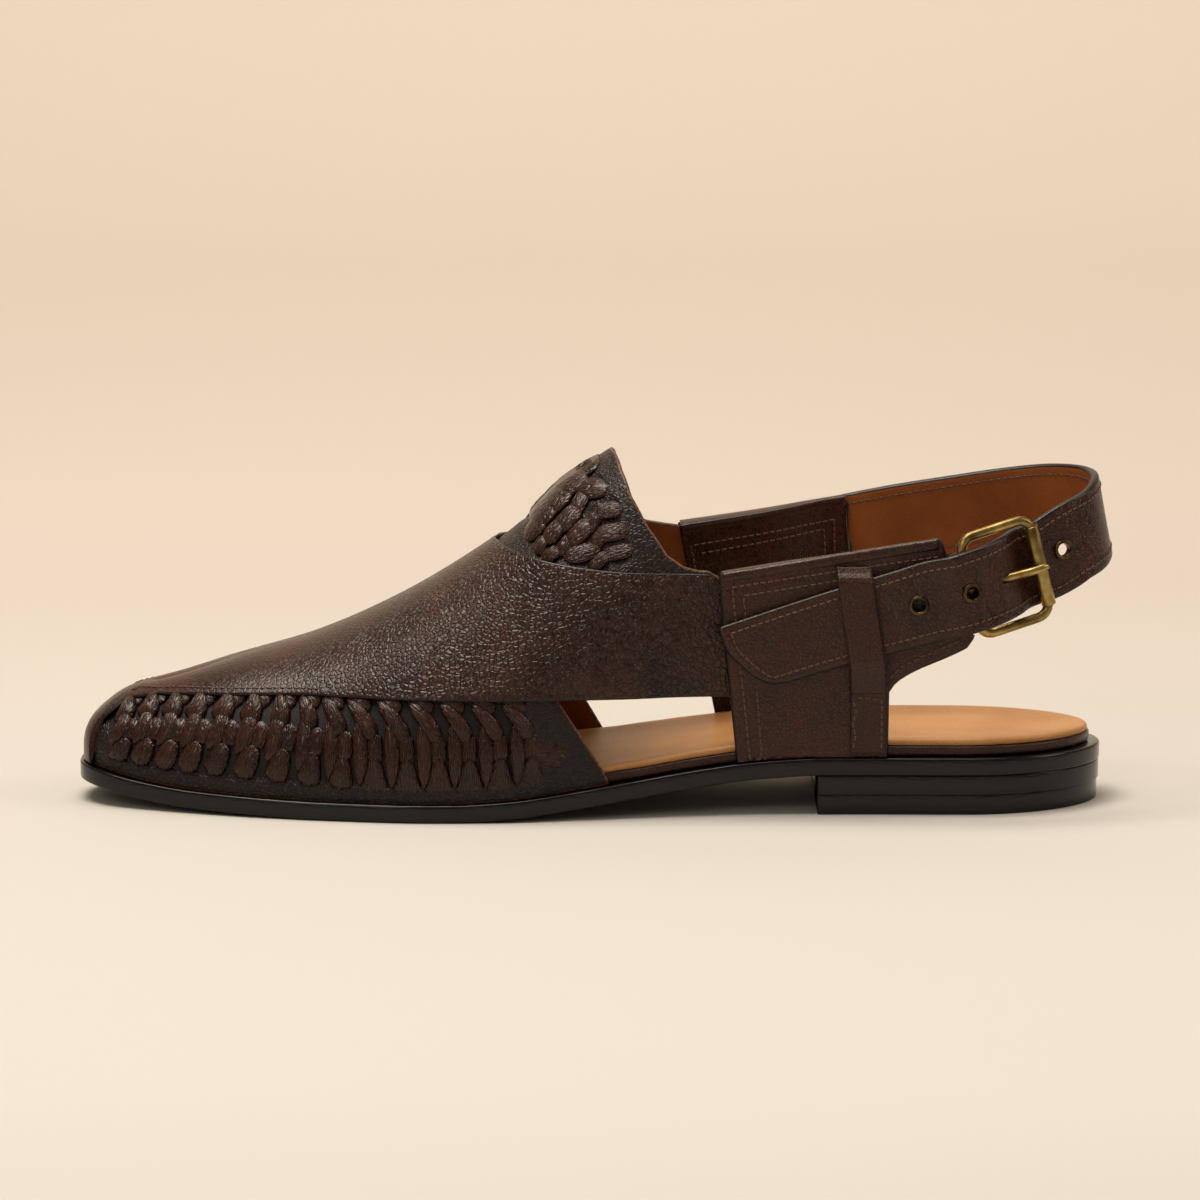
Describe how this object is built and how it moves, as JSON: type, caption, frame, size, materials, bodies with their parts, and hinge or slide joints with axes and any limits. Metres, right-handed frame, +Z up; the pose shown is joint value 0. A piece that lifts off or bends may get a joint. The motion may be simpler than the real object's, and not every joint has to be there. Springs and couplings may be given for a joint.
{
  "type": "peshawari chappal",
  "caption": "Left leather sandal with a woven closed toe under a smooth saddle, open sides and a buckled heel strap on a low stacked heel.",
  "frame": {"origin": "on the floor, under the middle of the shoe's box", "axes": "+X from the toe to the heel, -Y to the outer side, +Y to the inner side, +Z up from the floor"},
  "size_m": [0.3094, 0.098, 0.1047],
  "materials": {
    "dark_leather": "grained, semi-gloss",
    "sole_edge": "dyed and polished edge",
    "tan_leather": "smooth, satin",
    "brass": "antique, satin"
  },
  "bodies": {
    "root": {"heel_top_piece": "sole_edge", "heel_lift": "sole_edge", "outsole": "sole_edge", "footbed_rim": "dark_leather", "insole": "tan_leather", "woven_upper": "dark_leather", "saddle": "dark_leather", "outer_quarter": "dark_leather", "inner_quarter": "dark_leather", "heel_strap": "dark_leather", "strap_keeper": "dark_leather", "buckle_tab": "dark_leather", "buckle_frame": "brass", "buckle_roller": "brass", "buckle_prong": "brass", "eyelet_1": "brass", "eyelet_2": "brass", "eyelet_3": "brass"}
  },
  "joints": []
}
